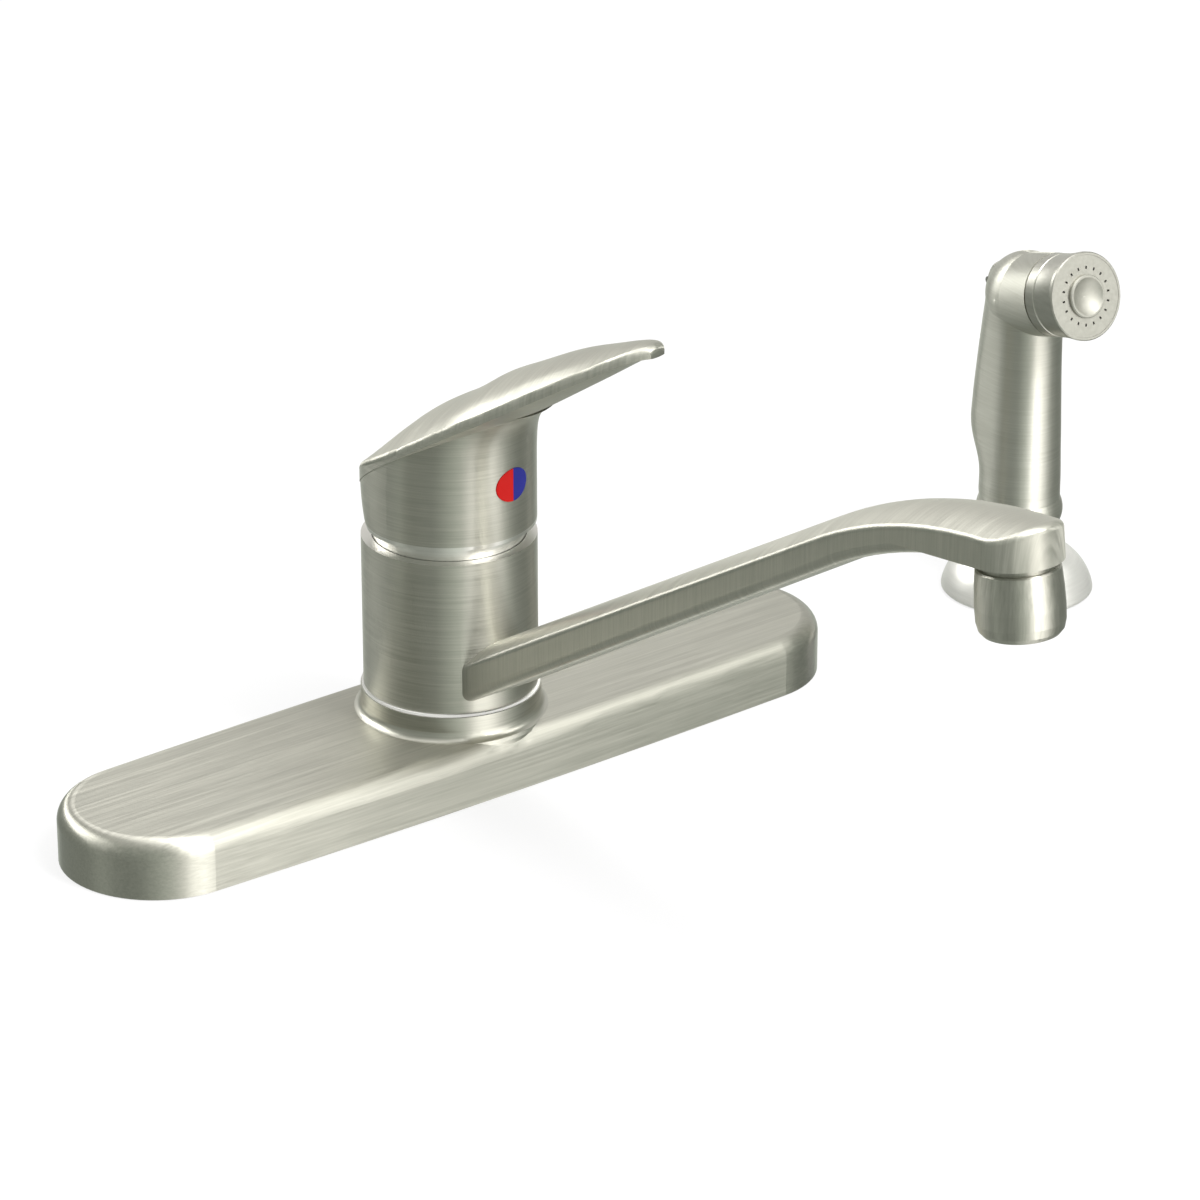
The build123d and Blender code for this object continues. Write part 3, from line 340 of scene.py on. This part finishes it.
WAND_GRAIN = (70.0, 70.0, 2400.0)
HEAD_GRAIN = (900.0, 60.0, 900.0)
wand_finish = brushed("wand brushed round", WAND_GRAIN, UPRIGHT,
                      dark=(0.48, 0.475, 0.42), light=(0.57, 0.565, 0.51), low=0.42, high=0.50)
head_finish = brushed("head satin", HEAD_GRAIN, None, dark=(0.40, 0.393, 0.352),
                      light=(0.46, 0.453, 0.41), low=0.36, high=0.44, bump=0.03)
eye_finish = brushed("eye satin", HEAD_GRAIN, None, dark=(0.38, 0.375, 0.335),
                     light=(0.42, 0.415, 0.375), low=0.56, high=0.62, bump=0.02)
dress(wand_finish, "wand_body", "hose_connector", "spray_trigger")
dress(head_finish, "head_ring", "head_bezel", "spray_face", "trigger_pin")
dress(eye_finish, "spray_eye")
dress(raw_brass, "valve_plunger")


# ---------------------------------------------------------------------------
# Camera: a long lens where the photograph was taken from, above the faucet
# and in front of its left end.
# ---------------------------------------------------------------------------

CAMERA_PLACE = (-0.80795, -1.08566, 0.65032)
CAMERA_RIGHT = (0.78360445, -0.62126006, 0.0)
CAMERA_UP = (0.25286098, 0.31893727, 0.91342232)
CAMERA_BACK = (-0.5674728, -0.7157618, 0.4070131)
LENS_LENGTH = 161.07
FILM_WIDTH = 36.0
NEAREST_SEEN = 0.05
camera = bpy.data.objects.new("camera", bpy.data.cameras.new("camera"))
bpy.context.scene.collection.objects.link(camera)
camera.data.lens = LENS_LENGTH
camera.data.sensor_width = FILM_WIDTH
camera.data.clip_start = NEAREST_SEEN
camera_turn = Matrix((CAMERA_RIGHT, CAMERA_UP, CAMERA_BACK)).transposed()
camera.matrix_world = Matrix.Translation(CAMERA_PLACE) @ camera_turn.to_4x4()
bpy.context.scene.camera = camera
bpy.context.scene.view_settings.view_transform = "Standard"


# ---------------------------------------------------------------------------
# Table and light: a plain pale table top just under the plate, a white
# surround, and three soft boxes.
# ---------------------------------------------------------------------------

TABLE_SIZE = 8.0
TABLE_DROP = 0.0003
TABLE_GREY = 0.90
TABLE_GLOW = 0.8            # how much of the table shows as pure white, and not as lit paper
SURROUND_LIGHT = 0.75       # how strongly the surround lights things
SURROUND_SEEN = 1.0         # and how bright it shows, where 1 is white


def seen_directly(nodes, links):
    """1 for camera, glossy and transmission rays, 0 for the rays that light things."""
    path = nodes.new("ShaderNodeLightPath")
    first = nodes.new("ShaderNodeMath")
    first.operation = "MAXIMUM"
    second = nodes.new("ShaderNodeMath")
    second.operation = "MAXIMUM"
    links.new(path.outputs["Is Camera Ray"], first.inputs[0])
    links.new(path.outputs["Is Glossy Ray"], first.inputs[1])
    links.new(first.outputs[0], second.inputs[0])
    links.new(path.outputs["Is Transmission Ray"], second.inputs[1])
    return second.outputs[0]


bpy.ops.object.select_all(action="DESELECT")
bpy.ops.mesh.primitive_plane_add(size=TABLE_SIZE, location=(0.0, 0.0, -TABLE_DROP))
table = bpy.context.object
table.name = "table"
paper = bpy.data.materials.new("white table")
paper.use_nodes = True
nodes, links = paper.node_tree.nodes, paper.node_tree.links
nodes.remove(nodes["Principled BSDF"])
matt = nodes.new("ShaderNodeBsdfDiffuse")
matt.inputs["Color"].default_value = (TABLE_GREY, TABLE_GREY, TABLE_GREY, 1.0)
glow = nodes.new("ShaderNodeEmission")
glow.inputs["Color"].default_value = (1.0, 1.0, 1.0, 1.0)
clear = nodes.new("ShaderNodeBsdfTransparent")
share = nodes.new("ShaderNodeMath")
share.operation = "MULTIPLY"
share.inputs[1].default_value = TABLE_GLOW
lit = nodes.new("ShaderNodeMixShader")
two_sided = nodes.new("ShaderNodeMixShader")
side = nodes.new("ShaderNodeNewGeometry")
links.new(seen_directly(nodes, links), share.inputs[0])
links.new(share.outputs[0], lit.inputs[0])
links.new(matt.outputs[0], lit.inputs[1])
links.new(glow.outputs[0], lit.inputs[2])
links.new(side.outputs["Backfacing"], two_sided.inputs[0])
links.new(lit.outputs[0], two_sided.inputs[1])
links.new(clear.outputs[0], two_sided.inputs[2])
links.new(two_sided.outputs[0], nodes["Material Output"].inputs["Surface"])
table.data.materials.append(paper)
table.visible_glossy = False

world = bpy.data.worlds.new("surround")
bpy.context.scene.world = world
world.use_nodes = True
nodes, links = world.node_tree.nodes, world.node_tree.links
ground = nodes["Background"]
ground.inputs["Color"].default_value = (1.0, 1.0, 1.0, 1.0)
level = nodes.new("ShaderNodeMapRange")
level.inputs["To Min"].default_value = SURROUND_LIGHT
level.inputs["To Max"].default_value = SURROUND_SEEN
links.new(seen_directly(nodes, links), level.inputs["Value"])
links.new(level.outputs["Result"], ground.inputs["Strength"])

LIT_PLACE = Vector((0.04, -0.05, 0.05))
LAMP_DISTANCE = 1.5


def soft_box(name, azimuth, elevation, width, height, watts):
    """A rectangular lamp that faces the faucet; azimuth 0 is in front, 90 is on the left."""
    lamp = bpy.data.lights.new(name, "AREA")
    lamp.shape = "RECTANGLE"
    lamp.size = width
    lamp.size_y = height
    lamp.energy = watts
    box = bpy.data.objects.new(name, lamp)
    bpy.context.scene.collection.objects.link(box)
    a, e = math.radians(azimuth), math.radians(elevation)
    away = Vector((-math.sin(a) * math.cos(e), -math.cos(a) * math.cos(e), math.sin(e)))
    box.location = LIT_PLACE + away * LAMP_DISTANCE
    box.rotation_euler = away.to_track_quat("Z", "Y").to_euler()


soft_box("key", azimuth=-10.0, elevation=52.0, width=0.35, height=1.0, watts=20.0)
soft_box("overhead", azimuth=-150.0, elevation=80.0, width=0.8, height=0.8, watts=4.0)
soft_box("back", azimuth=163.0, elevation=26.0, width=0.6, height=0.4, watts=3.0)


# ---------------------------------------------------------------------------
# Light tent: white and grey cloth all round the table, which only the metal
# sees. Its panels are told by direction: degrees to the right of the camera,
# and degrees up.
# ---------------------------------------------------------------------------

TENT_RADIUS = 6.0
TENT_STEP = 4               # degrees from one seam of the tent to the next
CAMERA_ANGLE = math.degrees(math.atan2(CAMERA_PLACE[1], CAMERA_PLACE[0]))
WHITE_CLOTH = (1.0, 0.995, 0.97)
GREY_CLOTH = (0.93, 1.0, 0.91)
TENT_PANELS = (             # from, to, low, high, cloth, strength; the first that fits is taken
    (-180, 180, 60, 90, WHITE_CLOTH, 0.95),
    (-132, -96, 22, 52, WHITE_CLOTH, 5.0),
    (78, 106, 34, 60, WHITE_CLOTH, 3.8),
    (24, 72, 4, 60, WHITE_CLOTH, 2.8),
    (-180, -140, 4, 60, WHITE_CLOTH, 0.85),
    (140, 180, 4, 60, WHITE_CLOTH, 0.85),
    (-84, -10, 4, 60, GREY_CLOTH, 0.42),
    (-10, 24, 4, 60, GREY_CLOTH, 0.6),
    (-180, 180, 4, 60, GREY_CLOTH, 0.45),
    (-180, -152, -90, 4, GREY_CLOTH, 0.75),
    (-152, -76, -90, 4, GREY_CLOTH, 0.36),
    (-76, -60, -90, 4, GREY_CLOTH, 0.58),
    (-60, -16, -90, 4, GREY_CLOTH, 0.36),
    (-16, -8, -90, 4, GREY_CLOTH, 0.5),
    (-8, 4, -90, 4, GREY_CLOTH, 0.65),
    (4, 20, -90, 4, GREY_CLOTH, 0.85),
    (20, 30, -90, 4, WHITE_CLOTH, 1.05),
    (30, 58, -90, 4, WHITE_CLOTH, 2.3),
    (58, 66, -90, 4, WHITE_CLOTH, 1.5),
    (66, 74, -90, 4, WHITE_CLOTH, 0.95),
    (74, 82, -90, 4, GREY_CLOTH, 0.7),
    (82, 90, -90, 4, GREY_CLOTH, 0.55),
    (90, 150, -90, 4, GREY_CLOTH, 0.30),
    (150, 180, -90, 4, GREY_CLOTH, 0.75),
)
bpy.ops.object.select_all(action="DESELECT")
bpy.ops.mesh.primitive_uv_sphere_add(segments=360 // TENT_STEP, ring_count=180 // TENT_STEP,
                                     radius=TENT_RADIUS)
tent = bpy.context.object
tent.name = "light tent"
for *_, colour, strength in TENT_PANELS:
    cloth = bpy.data.materials.new("tent cloth")
    cloth.use_nodes = True
    nodes, links = cloth.node_tree.nodes, cloth.node_tree.links
    nodes.remove(nodes["Principled BSDF"])
    tone = nodes.new("ShaderNodeEmission")
    tone.inputs["Color"].default_value = (*colour, 1.0)
    tone.inputs["Strength"].default_value = strength
    links.new(tone.outputs[0], nodes["Material Output"].inputs["Surface"])
    tent.data.materials.append(cloth)
for face in tent.data.polygons:
    x, y, z = face.center.normalized()
    up = math.degrees(math.asin(z))
    right = (math.degrees(math.atan2(y, x)) - CAMERA_ANGLE + 180.0) % 360.0 - 180.0
    for panel, (start, end, low, high, *_) in enumerate(TENT_PANELS):
        if start <= right <= end and low <= up <= high:
            face.material_index = panel
            break
tent.visible_camera = False
tent.visible_diffuse = False
tent.visible_transmission = False
tent.visible_shadow = False
